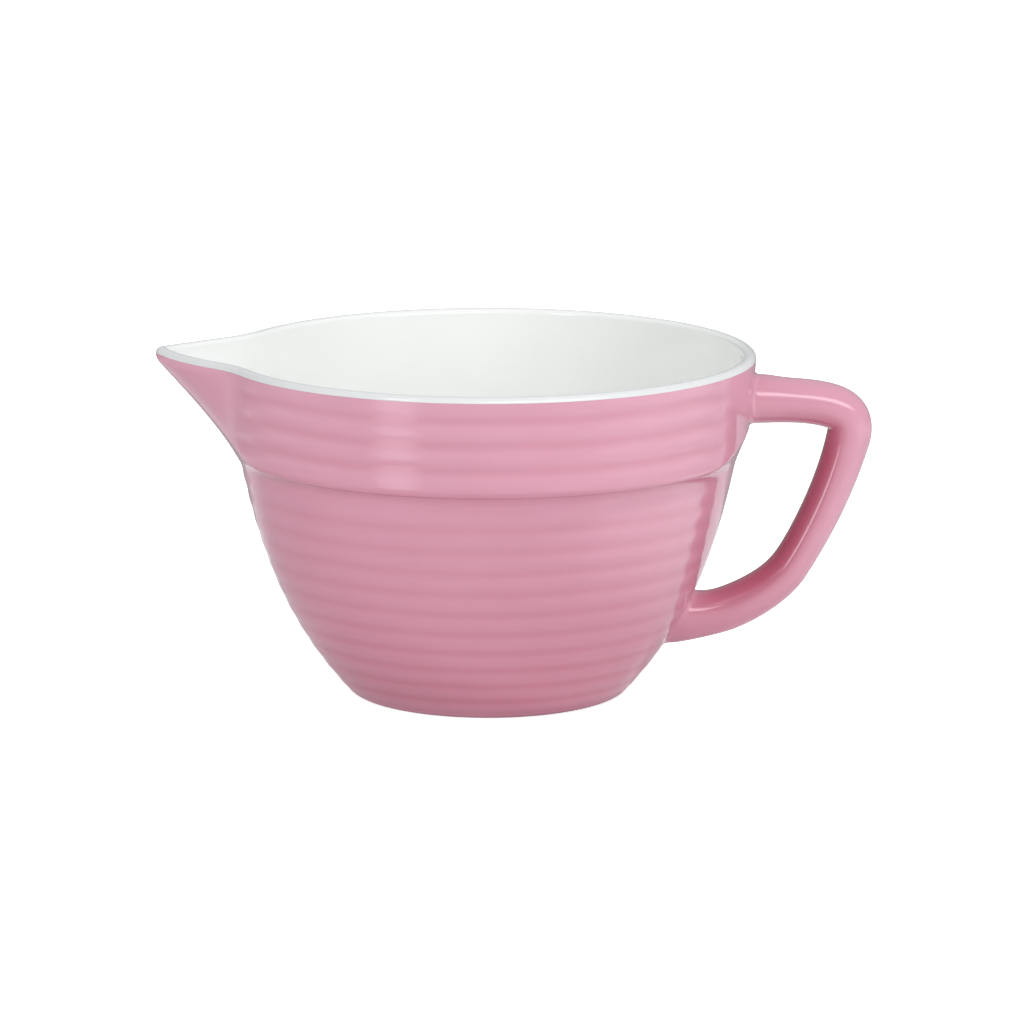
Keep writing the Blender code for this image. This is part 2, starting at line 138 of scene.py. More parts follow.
# Mesh fineness
RING_SIDES = 240
SPOUT_CROWDING = 0.4  # by which share the sides of a ring lie closer at the spout
ROWS_PER_RIB = 10
CURVE_POINTS = 400
EDGE_ROWS = 14
HOLLOW_ROWS = 8
LIP_ROWS = 20
INSIDE_ROWS = 48
CORNER_ROWS = 12
HANDLE_SIDES = 64
SPAN_ROWS = 40
FILLET_ROWS = 10
BEND_SMOOTHING = 50  # passes that round off the inside of the handle's bends
END_FACE_SHARES = (0.1, 0.55)  # sizes of the rings that close a handle end, as shares of its section
SLOPE_STEP = 1e-4 * MM  # the height over which a wall's lean is measured
SHARP_ANGLE = math.radians(50.0)  # edges that turn further than this stay creased

# Colours of the glazes, as linear red, green and blue
PINK_THIN = (0.645, 0.31, 0.395)
# The deep pink is also the colour of the painted shade.
PINK_DEEP_AND_SHADED = (0.46, 0.113, 0.17)
WHITE = (0.855, 0.857, 0.83)
WHITE_RIM = (0.72, 0.725, 0.715)

# How much deeper the pink glaze is made in places, as shares of the way from thin to deep: pooled glaze, and
# also painted shade and painted light
FOOT_DARKENING = 0.36  # darker towards the foot, against the rim
COLLAR_POOLING_AND_SHADE = 0.22  # in the collar's grooves: pooled glaze, with painted shade there too
EDGE_PAINTED_SHADE = 0.22  # painted shade along the collar's lower edge, which faces down
EDGE_SHADE_REACH = 3.4 * MM
STEP_POOLING_AND_SHADE = 0.12  # in the body's grooves just under the collar: pooled glaze, with painted shade there too
FOOT_POOLING_AND_SHADE = 0.22  # in the body's grooves at the foot: pooled glaze, with painted shade there too
POOL_SHARPNESS = 2.0  # above 1 the pools and their painted shade are narrower than the grooves
FOOT_PAINTED_LIGHT = 0.20  # painted light: how much lighter the glaze is made on the edge of the foot
FOOT_LIGHT_HEIGHT = 7.0 * MM
HANDLE_PAINTED_SHADE = 0.9  # painted shade on the inner side of the handle
INNER_SIDE = (-0.10, 0.35)  # from where to where that side begins, in thicknesses off the middle
CLOUDING = 0.03
CLOUD_SCALE = 60.0  # waves per metre, as for the other scales
CLOUD_DETAIL = 3.0

# White glaze on the rim, and the gloss of both glazes
RIM_FADE = (0.45, 0.75)  # from where to where the rim's grey fades out, as shares of the way over the lip
WHITE_CLOUDING = 0.1
WHITE_CLOUD_SCALE = 50.0
GLAZE_ROUGHNESS = (0.07, 0.10)
GLOSS_SCALE = 150.0
GLOSS_DETAIL = 2.0
GLAZE_IOR = 1.5
NOISE_RANGE = (0.3, 0.7)  # between which most values of a noise lie

# Photograph
IMAGE_SIZE = 1024
CAMERA_DISTANCE = 1.4
CAMERA_ELEVATION = 11.68  # degrees
CAMERA_TURN = 1.15  # degrees from the front to the right
TARGET_HEIGHT = 44.6 * MM
TARGET_PIXEL = (488.0, 521.55)
PIXELS_PER_METRE = 3800.0
SENSOR_WIDTH = 36.0

# Studio
FLOOR_HALF_WIDTH = 4.0
FLOOR_COLOUR = (0.85, 0.85, 0.85)
FLOOR_WHITENING = 0.75  # for the camera
FLOOR_SHEEN = 0.1  # in reflections
COOL_WHITE = (0.985, 1.0, 1.025)
ROOM_BRIGHTNESS = 0.51
SOFTBOX_DISTANCE = 1.0
CARD_CORE = 0.3  # the share of a card, out from its middle, that is evenly bright

# Azimuth and elevation in degrees, width, height, brightness, and whether the glaze mirrors it
SOFTBOXES = {
    "key_softbox": (69.0, 52.0, 0.12, 0.12, 70.0, False),
    "right_softbox": (48.0, 18.0, 0.70, 0.50, 1.5, False),
    "left_softbox": (-62.0, 20.0, 0.60, 0.60, 1.0, False),
    "front_softbox": (0.0, 20.0, 0.60, 0.40, 2.3, False),
    "back_softbox": (165.0, 35.0, 0.60, 0.60, 1.3, False),
    "strip_softbox": (-38.6, 32.0, 0.20, 0.50, 4.0, True),
}

# Azimuth in degrees, distance, height of the middle, tilt in degrees, width, height and brightness
CARDS = {
    "arm_card": (25.0, 0.85, 0.62, -33.0, 1.50, 0.50, 6.5),
    "grip_card": (-22.8, 0.46, 0.085, 0.0, 0.16, 0.12, 7.0),
    "front_card": (32.0, 0.145, 0.025, 0.0, 0.07, 0.10, 1.5),
    "strip_card": (-32.8, 0.217, 0.03, 0.0, 0.095, 0.12, 2.9),
    "right_card": (72.0, 0.26, 0.04, 0.0, 0.40, 0.16, 2.0),
    "right_floor_card": (70.0, 0.17, 0.001, 90.0, 0.30, 0.22, 2.0),
    "left_card": (-78.0, 0.36, 0.03, 0.0, 0.50, 0.11, 1.3),
    "left_floor_flag": (-100.0, 0.18, 0.001, 90.0, 0.26, 0.28, 0.55),
    "left_flag": (-135.0, 0.30, 0.06, 0.0, 0.50, 0.30, 0.4),
    "back_flag": (180.0, 0.17, 0.05, 0.0, 0.60, 0.24, 0.3),
}

# Sizes that follow
COLLAR_BOTTOM = BOWL_HEIGHT - COLLAR_HEIGHT
BODY_TOP_RADIUS = RIM_RADIUS - COLLAR_LEAN - COLLAR_OVERHANG
KEEL_START = COLLAR_BOTTOM - SPOUT_TAIL
LIP_BOTTOM = BOWL_HEIGHT - LIP_HEIGHT
UPPER_ARM_HEIGHT = BOWL_HEIGHT - UPPER_ARM_DROP
UPPER_END_THICKNESS = HANDLE_THICKNESS[0] + HANDLE_FLARE
LOWER_END_THICKNESS = HANDLE_THICKNESS[-1] + HANDLE_FLARE
END_WIDTH = HANDLE_WIDTH + HANDLE_FLARE

TURN = np.linspace(0.0, 2.0 * math.pi, RING_SIDES, endpoint=False)
ANGLES = TURN + SPOUT_CROWDING * np.sin(TURN)
RADIAL = np.stack([np.cos(ANGLES), np.sin(ANGLES)], axis=1)


def bowl_axis_x():
    """The bowl's axis runs through the middle of its foot."""
    foot = [vertex.co.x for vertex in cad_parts["bowl_body"].data.vertices if vertex.co.z < TUCK]
    return (min(foot) + max(foot)) / 2.0


AXIS_X = bowl_axis_x()


def smooth_share(low, high, value):
    """Rises smoothly from 0 at low to 1 at high."""
    share = np.clip((value - low) / (high - low), 0.0, 1.0)
    return share * share * (3.0 - 2.0 * share)


def soft_ramp(value, rounding):
    """The value itself above 0 and 0 below, with its corner rounded off over this much on either hand."""
    corner = np.clip(value + rounding, 0.0, 2.0 * rounding)
    return corner * corner / (4.0 * rounding) + np.maximum(value - rounding, 0.0)


def wall_curve():
    """Radii, heights and lengths up the body's wall, from the foot's corner to the collar."""
    foot = Vector((FOOT_RADIUS, 0.0, 0.0))
    top = Vector((BODY_TOP_RADIUS, COLLAR_BOTTOM, 0.0))
    chord = (top - foot).length
    rise = Vector((math.cos(WALL_RISE), math.sin(WALL_RISE), 0.0)) * (LOWER_PULL * chord)
    lean = Vector((math.sin(WALL_LEAN), math.cos(WALL_LEAN), 0.0)) * (UPPER_PULL * chord)
    points = np.array(interpolate_bezier(foot, foot + rise, top - lean, top, CURVE_POINTS))
    steps = np.linalg.norm(np.diff(points, axis=0), axis=1)
    return points[:, 0], points[:, 1], np.concatenate([[0.0], np.cumsum(steps)])


WALL_RADII, WALL_HEIGHTS, WALL_LENGTHS = wall_curve()
WALL_LENGTH = WALL_LENGTHS[-1]


def collar_radius(height):
    return RIM_RADIUS - COLLAR_LEAN * (BOWL_HEIGHT - height) / COLLAR_HEIGHT


def wall_radius(height):
    return float(np.interp(height, WALL_HEIGHTS, WALL_RADII))


def plain_radius(height):
    """Outside radius without ribs: the wall, the hollow above it, then the collar with its rounded edge."""
    if height < COLLAR_BOTTOM:
        near = max(0.0, 1.0 - (COLLAR_BOTTOM - height) / HOLLOW)
        return wall_radius(height) + HOLLOW_REACH * near * near
    ledge = BODY_TOP_RADIUS + HOLLOW_REACH
    below = max(0.0, 1.0 - (height - COLLAR_BOTTOM) / COLLAR_EDGE)
    return ledge + (collar_radius(height) - ledge) * math.sqrt(1.0 - below * below)


def slant_share(angle):
    """1 in the middle of the handle's panel and of the spout's, falling to 0 where the step is plain."""
    off_middle = np.arcsin(np.abs(np.sin(angle)))
    facing = np.abs(np.cos(angle)) > math.cos(SLANT_HALF_ANGLE)
    return np.where(facing, 1.0 - off_middle / SLANT_HALF_ANGLE, 0.0)


def panel_radius(height, slant):
    """Outside radius without ribs, with this share of the full slant between collar and body."""
    low = COLLAR_BOTTOM - SLANT_BELOW * slant
    high = COLLAR_BOTTOM + SLANT_ABOVE * slant
    if slant == 0.0 or height <= low:
        return plain_radius(height)
    drop = (plain_radius(high) - plain_radius(low)) * (high - height) / (high - low)
    return plain_radius(max(height, high)) - soft_ramp(drop, SLANT_ROUNDING * slant)


def groove_wave(down, first_groove, pitch):
    """0 on a rib's crest and 1 in the groove beside it, by the way down from the top of the ribs."""
    return (1.0 + math.cos(2.0 * math.pi * (down - first_groove) / pitch)) / 2.0


def groove_share(height):
    """The grooves' wave at a height, with the ribs dying out at the ends of the collar and of the body."""
    if height >= COLLAR_BOTTOM:
        down = BOWL_HEIGHT - height
        up = height - COLLAR_BOTTOM
        fade = smooth_share(0.0, COLLAR_RIB_PITCH, down) * smooth_share(0.0, COLLAR_RIB_PITCH, up)
        return fade * groove_wave(down, COLLAR_FIRST_GROOVE, COLLAR_RIB_PITCH)
    length = float(np.interp(height, WALL_HEIGHTS, WALL_LENGTHS))
    down = WALL_LENGTH - length
    fade = smooth_share(0.0, RIB_FADE, down) * smooth_share(0.0, FOOT_RIB_FADE, length)
    return fade * groove_wave(down, BODY_FIRST_GROOVE, BODY_RIB_PITCH)


def rib_share(height):
    """1 where the ribs run and 0 in the smooth panels, for each side of a ring."""
    from_handle = np.abs(np.arctan2(np.sin(ANGLES), np.cos(ANGLES)))
    from_spout = math.pi - from_handle
    climb = min(1.0, height / COLLAR_BOTTOM)
    half = PANEL_FOOT_HALF_ANGLE + (PANEL_HALF_ANGLE - PANEL_FOOT_HALF_ANGLE) * climb
    beside_handle = smooth_share(half, half + PANEL_EDGE, from_handle)
    if height < KEEL_START:
        return beside_handle
    spout_edge = SPOUT_PANEL_HALF_ANGLE + SPOUT_PANEL_EDGE
    return beside_handle * smooth_share(SPOUT_PANEL_HALF_ANGLE, spout_edge, from_spout)


def outside_pooling_and_light(height):
    """How much darker the glaze is made, for each side of a ring: pooled glaze with painted shade in the
    grooves, painted shade on the collar's edge and painted light on the foot's edge.
    """
    if height >= COLLAR_BOTTOM:
        depth = COLLAR_POOLING_AND_SHADE
    else:
        depth = FOOT_POOLING_AND_SHADE + (STEP_POOLING_AND_SHADE - FOOT_POOLING_AND_SHADE) * height / COLLAR_BOTTOM
    depth *= groove_share(height) ** POOL_SHARPNESS
    # Painted shade along the collar's lower edge.
    depth += EDGE_PAINTED_SHADE * (1.0 - smooth_share(0.0, EDGE_SHADE_REACH, abs(height - COLLAR_BOTTOM)))
    # Painted light on the edge of the foot.
    foot_light = FOOT_PAINTED_LIGHT * (1.0 - smooth_share(0.0, FOOT_LIGHT_HEIGHT, height))
    return depth * rib_share(height) - foot_light


def spout_share():
    """1 on the spout's keel, falling to 0 where its sides meet the collar."""
    off_keel = np.abs(ANGLES - math.pi)
    rounded = np.hypot(off_keel, SPOUT_TIP_ANGLE) - SPOUT_TIP_ANGLE
    edge = math.hypot(SPOUT_HALF_ANGLE, SPOUT_TIP_ANGLE) - SPOUT_TIP_ANGLE
    return soft_ramp(1.0 - rounded / edge, SPOUT_BLEND) ** SPOUT_FLANK


SPOUT_SHARE = spout_share()
SLANT_SHARE = slant_share(ANGLES)


def with_spout(radii, height):
    """Pulls a ring out to the spout's keel, which runs from under the collar to the tip."""
    if height <= KEEL_START:
        return radii
    start = wall_radius(KEEL_START)
    climb = (height - KEEL_START) / (BOWL_HEIGHT - KEEL_START)
    keel = start + (RIM_RADIUS + SPOUT_REACH - start) * climb ** SPOUT_KEEL
    keel -= soft_ramp(keel - (RIM_RADIUS + SPOUT_REACH - SPOUT_BLUNTING), SPOUT_FRONT_ROUNDING)
    return radii + (keel - radii) * SPOUT_SHARE


def ring_at(radii, height):
    """Points round the bowl's axis at a height, lifted a little towards the spout's tip."""
    climb = max(0.0, (height - KEEL_START) / (BOWL_HEIGHT - KEEL_START))
    lift = SPOUT_RISE * climb ** SPOUT_LIFT_DELAY * SPOUT_SHARE ** SPOUT_LIFT_FOCUS
    ring = np.column_stack([RADIAL * np.reshape(radii, (-1, 1)), height + lift])
    ring[:, 0] += AXIS_X
    return ring


def outside_ring(height):
    """Points round the outside of the bowl at a height."""
    depth = COLLAR_RIB_DEPTH if height >= COLLAR_BOTTOM else BODY_RIB_DEPTH
    smooth = np.array([panel_radius(height, slant) for slant in SLANT_SHARE])
    ribbed = smooth - depth * groove_share(height) * rib_share(height)
    return ring_at(with_spout(ribbed, height), height)


def form_radii(height):
    """Radii of the plain form, without step or ribs, from which the inside is set off."""
    if height < COLLAR_BOTTOM:
        return np.full(RING_SIDES, wall_radius(height))
    share = (height - COLLAR_BOTTOM) / COLLAR_HEIGHT
    plain = BODY_TOP_RADIUS + share * (RIM_RADIUS - BODY_TOP_RADIUS)
    return with_spout(np.full(RING_SIDES, plain), height)


def inset_ring(height, inset):
    """Points round the bowl at a height, set in from the plain form, square to its wall."""
    ring = ring_at(form_radii(height), height)
    along = np.roll(ring, -1, axis=0) - np.roll(ring, 1, axis=0)
    outward = np.column_stack([along[:, 1], -along[:, 0]])
    outward /= np.linalg.norm(outward, axis=1)[:, None]
    lean = (form_radii(height) - form_radii(height - SLOPE_STEP)) / SLOPE_STEP
    lean *= np.sum(outward * RADIAL, axis=1)
    ring[:, :2] -= outward * (inset * np.sqrt(1.0 + lean * lean))[:, None]
    return ring


def inside_rings(inset, top, floor):
    """Rings down the inside of a layer, from its top to the edge of its flat floor."""
    corner_top = floor + FLOOR_CORNER
    rings = [inset_ring(height, inset) for height in np.linspace(top, corner_top, INSIDE_ROWS)]
    start = float(np.max(rings[-1][:, 0])) - AXIS_X
    lower = float(np.max(inset_ring(corner_top - SLOPE_STEP, inset)[:, 0])) - AXIS_X
    corner = start - (start - lower) / SLOPE_STEP * FLOOR_CORNER
    for step in range(1, CORNER_ROWS + 1):
        share = step / CORNER_ROWS
        radius = (1 - share) ** 2 * start + 2 * share * (1 - share) * corner
        radius += share * share * (corner - FLOOR_CORNER)
        rings.append(ring_at(radius, floor + FLOOR_CORNER * (1 - share) ** 2))
    return rings


def foot_rings():
    """Rings of the foot, from the recess under the bowl to the start of the wall."""
    flat_edge = FOOT_RADIUS - FOOT_ROUNDING
    inner_edge = flat_edge - FOOT_RING_WIDTH
    rings = [ring_at(inner_edge - FOOT_RECESS, FOOT_RECESS)]
    rings.append(ring_at(inner_edge, 0.0))
    end_radius = float(np.interp(FOOT_ROUNDING, WALL_LENGTHS, WALL_RADII))
    end_height = float(np.interp(FOOT_ROUNDING, WALL_LENGTHS, WALL_HEIGHTS))
    for share in np.linspace(0.0, 1.0, CORNER_ROWS):
        radius = (1 - share) ** 2 * flat_edge + 2 * share * (1 - share) * FOOT_RADIUS
        rings.append(ring_at(radius + share * share * end_radius, share * share * end_height))
    return rings


def outside_heights():
    """Heights of the outside's rings: a fixed number to each rib, and closer at the collar's edge."""
    step = BODY_RIB_PITCH / ROWS_PER_RIB
    lengths = np.arange(WALL_LENGTH - BODY_FIRST_GROOVE % step, FOOT_ROUNDING + step / 2.0, -step)
    body = np.interp(lengths[::-1], WALL_LENGTHS, WALL_HEIGHTS)
    body = body[body < COLLAR_BOTTOM - HOLLOW]
    hollow = COLLAR_BOTTOM - HOLLOW * np.linspace(1.0, 0.0, HOLLOW_ROWS, endpoint=False)
    turns = np.linspace(0.0, math.pi / 2.0, EDGE_ROWS)
    edge = COLLAR_BOTTOM + COLLAR_EDGE * (1.0 - np.cos(turns))
    top = LIP_BOTTOM - TUCK
    step = COLLAR_RIB_PITCH / ROWS_PER_RIB
    collar = np.arange(BOWL_HEIGHT - COLLAR_FIRST_GROOVE % step, edge[-1] + step / 2.0, -step)[::-1]
    collar = collar[collar < top - step / 2.0]
    return [float(height) for height in (*body, *hollow, *edge, *collar, top)]


def skin(name, rings, material, pooling_and_painted_light=None):
    """One closed solid from a chain of rings, capped at both ends, that stores how its glaze pools and where
    shade and light are painted on it.
    """
    rings = np.array(rings)
    rows, sides = rings.shape[:2]
    index = np.arange(rows * sides).reshape(rows, sides)
    after = np.roll(index, -1, axis=1)
    corners = np.stack([index[:-1], after[:-1], after[1:], index[1:]], axis=-1)
    faces = corners.reshape(-1, 4).tolist()
    points = [*rings.reshape(-1, 3), *rings[[0, -1]].mean(axis=1)]
    for row, middle in ((0, rows * sides), (rows - 1, rows * sides + 1)):
        faces += [(int(a), int(b), middle) for a, b in zip(index[row], after[row])]
    data = bpy.data.meshes.new(name)
    data.from_pydata(points, [], faces)
    if pooling_and_painted_light is not None:
        rows_of_values = [np.broadcast_to(np.reshape(row, (-1,)), sides) for row in pooling_and_painted_light]
        values = np.concatenate(rows_of_values + [[0.0, 0.0]]).astype(np.float32)
        data.attributes.new("pooling_and_painted_light", "FLOAT", "POINT").data.foreach_set("value", values)
    mesh = bmesh.new()
    mesh.from_mesh(data)
    bmesh.ops.recalc_face_normals(mesh, faces=mesh.faces)
    mesh.to_mesh(data)
    mesh.free()
    data.shade_smooth()
    data.set_sharp_from_angle(angle=SHARP_ANGLE)
    data.materials.append(material)
    piece = bpy.data.objects.new(name, data)
    bpy.context.scene.collection.objects.link(piece)
    return piece


def add_bowl_shell(material):
    """The pink outside with its ribs, collar, spout and foot."""
    foot = foot_rings()
    heights = outside_heights()
    back = inside_rings(WALL - LINER + TUCK, LIP_BOTTOM - TUCK, FLOOR_TOP - LINER - TUCK)
    rings = foot + [outside_ring(height) for height in heights] + back
    outside = [outside_pooling_and_light(height) for height in heights]
    # The foot's rings carry the painted light of the foot's edge.
    pooling_and_painted_light = [-FOOT_PAINTED_LIGHT] * len(foot) + outside + [0.0] * len(back)
    return skin("bowl_shell", rings, material, pooling_and_painted_light)


def add_white_lining(material):
    """The white inside, which wraps over the rim and ends flush with the pink outside."""
    inner = inset_ring(LIP_BOTTOM, WALL)
    outer = outside_ring(LIP_BOTTOM)
    back = inside_rings(WALL - LINER, LIP_BOTTOM, FLOOR_TOP - LINER)[::-1]
    lip = []
    for turn in np.linspace(0.0, math.pi, LIP_ROWS):
        ring = outer + (inner - outer) * (1.0 - math.cos(turn)) / 2.0
        ring[:, 2] += LIP_HEIGHT * math.sin(turn)
        lip.append(ring)
    inside = inside_rings(WALL, LIP_BOTTOM, FLOOR_TOP)[1:]
    on_rim = list(1.0 - smooth_share(*RIM_FADE, np.linspace(0.0, 1.0, LIP_ROWS)))
    pooling_and_painted_light = [0.0] * len(back) + on_rim + [0.0] * len(inside)
    return skin("white_lining", back + lip + inside, material, pooling_and_painted_light)


def wall_x(side, height):
    """How far out the handle's panel lies, at a distance to the side of the handle's plane."""
    angle = math.asin(side / panel_radius(height, 1.0))
    return AXIS_X + math.sqrt(panel_radius(height, slant_share(angle)) ** 2 - side * side)


def handle_line():
    """Centre line of the handle, from the upper end to the lower end."""
    rim = AXIS_X + RIM_RADIUS
    upper = Vector((wall_x(0.0, UPPER_ARM_HEIGHT) + FILLET, 0.0, UPPER_ARM_HEIGHT))
    knuckle = Vector((rim + KNUCKLE_REACH, 0.0, BOWL_HEIGHT - KNUCKLE_DROP))
    knee = Vector((rim + KNEE_REACH, 0.0, KNEE_HEIGHT))
    lower = Vector((wall_x(0.0, LOWER_ARM_HEIGHT) + FILLET, 0.0, LOWER_ARM_HEIGHT))
    out = Vector((1.0, 0.0, 0.0))
    knuckle_down = Vector((-math.sin(KNUCKLE_LEAN), 0.0, -math.cos(KNUCKLE_LEAN)))
    knee_down = Vector((-math.sin(KNEE_LEAN), 0.0, -math.cos(KNEE_LEAN)))
    spans = (
        (upper, out, knuckle, knuckle_down, UPPER_ARM_PULLS),
        (knuckle, knuckle_down, knee, knee_down, GRIP_PULLS),
        (knee, knee_down, lower, -out, LOWER_ARM_PULLS),
    )
    points = []
    for start, start_way, end, end_way, pulls in spans:
        first = start + start_way * pulls[0]
        second = end - end_way * pulls[1]
        points += interpolate_bezier(start, first, second, end, SPAN_ROWS)[bool(points):]
    return points


def section(thickness, width):
    """Outline of the handle's section, as distances across its plane and to the side."""
    turns = np.linspace(0.0, 2.0 * math.pi, HANDLE_SIDES, endpoint=False)
    power = 2.0 / HANDLE_SQUARENESS
    across = np.sign(np.cos(turns)) * np.abs(np.cos(turns)) ** power * thickness / 2.0
    side = np.sign(np.sin(turns)) * np.abs(np.sin(turns)) ** power * width / 2.0
    return np.column_stack([across, side])


def wall_patch(height, thickness, width, stand_off):
    """Outline of the handle's section, laid on the handle's panel and lifted off it."""
    ring = []
    for across, side in section(thickness, width):
        ring.append((wall_x(side, height + across) + stand_off, side, height + across))
    return ring


def end_face(height, thickness, width, stand_off):
    """Rings that close a handle end or a fillet, following the wall from the middle out."""
    shares = END_FACE_SHARES
    return [wall_patch(height, thickness * share, width * share, stand_off) for share in shares]


def inner_share(across):
    """1 on the inner side of the handle and 0 on the outer, by distances across it in thicknesses."""
    return smooth_share(*INNER_SIDE, -across)


def round_bends(rings):
    """Smooths the rings along the handle, on its inner side only, so that its bends don't crease."""
    rings = np.array(rings)
    inner_side = inner_share(section(1.0, 1.0)[:, 0])[:, None]
    for _ in range(BEND_SMOOTHING):
        rings[1:-1] += inner_side * (rings[:-2] - 2.0 * rings[1:-1] + rings[2:]) / 4.0
    return list(rings)


def handle_rings():
    """Rings along the handle, with ends that follow the wall they meet, and the painted shade on its inner
    side.
    """
    line = handle_line()
    places = np.linspace(0.0, len(HANDLE_THICKNESS) - 1.0, len(line))
    lengths = np.cumsum([0.0] + [(b - a).length for a, b in zip(line, line[1:])])
    rings = []
    pooling_and_painted_light = []
    for index, (centre, place) in enumerate(zip(line, places)):
        before = line[max(index - 1, 0)]
        after = line[min(index + 1, len(line) - 1)]
        way = (after - before).normalized()
        if index in (0, len(line) - 1):
            way = Vector((math.copysign(1.0, way.x), 0.0, 0.0))
        across = Vector((-way.z, 0.0, way.x))
        from_end = min(lengths[index], lengths[-1] - lengths[index])
        shear = 1.0 - smooth_share(0.0, HANDLE_SETTLE, from_end)
        flare = HANDLE_FLARE * shear * shear
        thickness = np.interp(place, range(len(HANDLE_THICKNESS)), HANDLE_THICKNESS) + flare
        outline = section(thickness, HANDLE_WIDTH + flare)
        # The painted shade dies out towards both ends.
        off_ends = math.sqrt(abs(math.sin(math.pi * place / places[-1])))
        pooling_and_painted_light.append(HANDLE_PAINTED_SHADE * off_ends * inner_share(outline[:, 0] / thickness))
        ring = []
        for offset, side in outline:
            point = centre + across * offset + Vector((0.0, side, 0.0))
            if shear > 0.0:
                point.x += shear * (wall_x(side, point.z) - wall_x(0.0, centre.z))
            ring.append(point)
        rings.append(ring)
    return round_bends(rings), pooling_and_painted_light


def add_ear_handle(material):
    upper = end_face(UPPER_ARM_HEIGHT, UPPER_END_THICKNESS, END_WIDTH, FILLET)
    # The centre line runs back into the wall there, which turns its sections upside down.
    lower = end_face(LOWER_ARM_HEIGHT, -LOWER_END_THICKNESS, END_WIDTH, FILLET)
    rings, pooling_and_painted_light = handle_rings()
    pooling_and_painted_light = [0.0] * len(upper) + pooling_and_painted_light + [0.0] * len(lower)
    return skin("ear_handle", upper + rings + lower[::-1], material, pooling_and_painted_light)


def add_slip_fillet(name, height, thickness, material):
    """Slip smoothed into a hollow rounding between a handle end and the wall."""
    rings = end_face(height, thickness + 2.0 * FILLET, END_WIDTH + 2.0 * FILLET, -TUCK)
    for turn in np.linspace(math.pi / 2.0, 0.0, FILLET_ROWS):
        spread = 2.0 * FILLET * (1.0 - math.cos(turn))
        stand_off = (FILLET + 2.0 * TUCK) * (1.0 - math.sin(turn)) - TUCK
        rings.append(wall_patch(height, thickness + spread, END_WIDTH + spread, stand_off))
    rings += end_face(height, thickness, END_WIDTH, FILLET + TUCK)[::-1]
    return skin(name, rings, material)


def new_material(name):
    material = bpy.data.materials.new(name)
    material.use_nodes = True
    nodes = material.node_tree.nodes
    return material, nodes, material.node_tree.links, nodes["Principled BSDF"]


def noise(nodes, links, scale, detail):
    """A noise that is fixed to the object, with its scale in waves per metre."""
    place = nodes.new("ShaderNodeTexCoord")
    texture = nodes.new("ShaderNodeTexNoise")
    texture.inputs["Scale"].default_value = scale
    texture.inputs["Detail"].default_value = detail
    links.new(place.outputs["Object"], texture.inputs["Vector"])
    return texture.outputs["Fac"]


def remap(nodes, links, value, low, high):
    """Spreads a noise over a range of values."""
    node = nodes.new("ShaderNodeMapRange")
    node.inputs["From Min"].default_value = NOISE_RANGE[0]
    node.inputs["From Max"].default_value = NOISE_RANGE[1]
    node.inputs["To Min"].default_value = low
    node.inputs["To Max"].default_value = high
    links.new(value, node.inputs["Value"])
    return node.outputs["Result"]


def scaled(nodes, links, value, factor):
    node = nodes.new("ShaderNodeMath")
    node.operation = "MULTIPLY"
    node.inputs[1].default_value = factor
    links.new(value, node.inputs[0])
    return node.outputs["Value"]


def added(nodes, links, first, second):
    node = nodes.new("ShaderNodeMath")
    node.operation = "ADD"
    links.new(first, node.inputs[0])
    links.new(second, node.inputs[1])
    return node.outputs["Value"]


def mix_colour(nodes, links, share, first, second):
    """Mixes two fixed colours."""
    node = nodes.new("ShaderNodeMix")
    node.data_type = "RGBA"
    sockets = [socket for socket in node.inputs if socket.type == "RGBA"]
    links.new(share, node.inputs[0])
    for socket, colour in zip(sockets, (first, second)):
        socket.default_value = (*colour, 1.0)
    return [socket for socket in node.outputs if socket.type == "RGBA"][0]


def stored_pooling_and_light(nodes):
    """The pooling and the painted shade and light that the mesh stores, or 0 where it stores none."""
    node = nodes.new("ShaderNodeAttribute")
    node.attribute_name = "pooling_and_painted_light"
    return node.outputs["Fac"]


def set_gloss(nodes, links, shader):
    """The slightly uneven gloss of both glazes."""
    unevenness = noise(nodes, links, GLOSS_SCALE, GLOSS_DETAIL)
    links.new(remap(nodes, links, unevenness, *GLAZE_ROUGHNESS), shader.inputs["Roughness"])
    shader.inputs["IOR"].default_value = GLAZE_IOR


def pink_glaze():
    """Glossy pink glaze, darker towards the foot and deeper in the grooves, with painted shade there, on the
    collar's edge and on the handle's inner side, and painted light on the foot's edge.
    """
    material, nodes, links, shader = new_material("pink_glaze")
    place = nodes.new("ShaderNodeTexCoord")
    axes = nodes.new("ShaderNodeSeparateXYZ")
    links.new(place.outputs["Object"], axes.inputs["Vector"])
    # Darker towards the foot.
    towards_foot = nodes.new("ShaderNodeMapRange")
    towards_foot.inputs["From Min"].default_value = BOWL_HEIGHT
    towards_foot.inputs["From Max"].default_value = 0.0
    towards_foot.inputs["To Max"].default_value = FOOT_DARKENING
    links.new(axes.outputs["Z"], towards_foot.inputs["Value"])
    clouds = noise(nodes, links, CLOUD_SCALE, CLOUD_DETAIL)
    # The stored values hold painted shade and light as well as pooled glaze.
    depth = added(nodes, links, towards_foot.outputs["Result"], stored_pooling_and_light(nodes))
    depth = added(nodes, links, depth, remap(nodes, links, clouds, -CLOUDING, CLOUDING))
    links.new(mix_colour(nodes, links, depth, PINK_THIN, PINK_DEEP_AND_SHADED), shader.inputs["Base Color"])
    set_gloss(nodes, links, shader)
    return material


def white_glaze():
    """Glossy white glaze, which is thin and a little grey on the rim."""
    material, nodes, links, shader = new_material("white_glaze")
    clouds = noise(nodes, links, WHITE_CLOUD_SCALE, CLOUD_DETAIL)
    clouds = remap(nodes, links, clouds, 0.0, WHITE_CLOUDING)
    thin = added(nodes, links, stored_pooling_and_light(nodes), clouds)
    links.new(mix_colour(nodes, links, thin, WHITE, WHITE_RIM), shader.inputs["Base Color"])
    set_gloss(nodes, links, shader)
    return material


